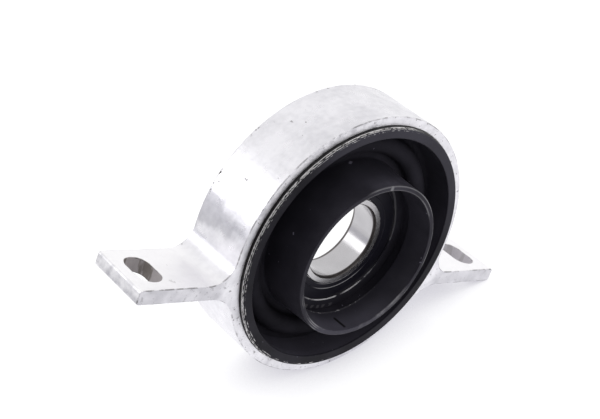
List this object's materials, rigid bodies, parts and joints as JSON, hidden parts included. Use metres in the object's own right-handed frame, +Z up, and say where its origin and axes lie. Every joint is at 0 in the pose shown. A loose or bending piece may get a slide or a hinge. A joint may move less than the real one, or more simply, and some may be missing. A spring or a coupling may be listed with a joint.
{
  "type": "driveshaft centre bearing",
  "caption": "Extruded aluminium bracket with slotted ears, carrying a sealed ball bearing in a folded rubber mount that holds up the middle of a driveshaft.",
  "frame": {"origin": "centre of the ball bearing, on the shaft's axis", "axes": "+X from ear to ear, +Y along the shaft away from the collar, +Z up from the ears' upper faces"},
  "size_m": [0.179, 0.0354, 0.105],
  "materials": {
    "bracket_aluminium": "extruded, sawn to length, scuffed",
    "sleeve_steel": "black coated, worn bright along the front corner",
    "mount_rubber": "moulded, satin black",
    "race_steel": "ground and polished",
    "seal_rubber": "moulded, satin black",
    "cage_steel": "pressed strip",
    "ball_steel": "polished"
  },
  "bodies": {
    "mount": {"housing": "bracket_aluminium", "outer_sleeve": "sleeve_steel", "rubber_mount": "mount_rubber", "outer_race": "race_steel", "front_seal": "seal_rubber", "rear_seal": "seal_rubber"},
    "inner_race": {"inner_race": "race_steel"},
    "ball_set": {"cage_front": "cage_steel", "cage_rear": "cage_steel", "cage_rivets": "cage_steel", "ball_1": "ball_steel", "ball_2": "ball_steel", "ball_3": "ball_steel", "ball_4": "ball_steel", "ball_5": "ball_steel", "ball_6": "ball_steel", "ball_7": "ball_steel", "ball_8": "ball_steel", "ball_9": "ball_steel", "ball_10": "ball_steel", "ball_11": "ball_steel"}
  },
  "joints": [
    {"name": "inner_race_spin", "type": "hinge", "parent": "mount", "child": "inner_race", "pos_m": [0, 0, 0], "axis": [0, 1, 0], "continuous": true},
    {"name": "ball_set_orbit", "type": "hinge", "parent": "mount", "child": "ball_set", "pos_m": [0, 0, 0], "axis": [0, 1, 0], "continuous": true}
  ],
  "couplings": [
    {"joint": "ball_set_orbit", "follows": "inner_race_spin", "ratio": 0.416}
  ]
}
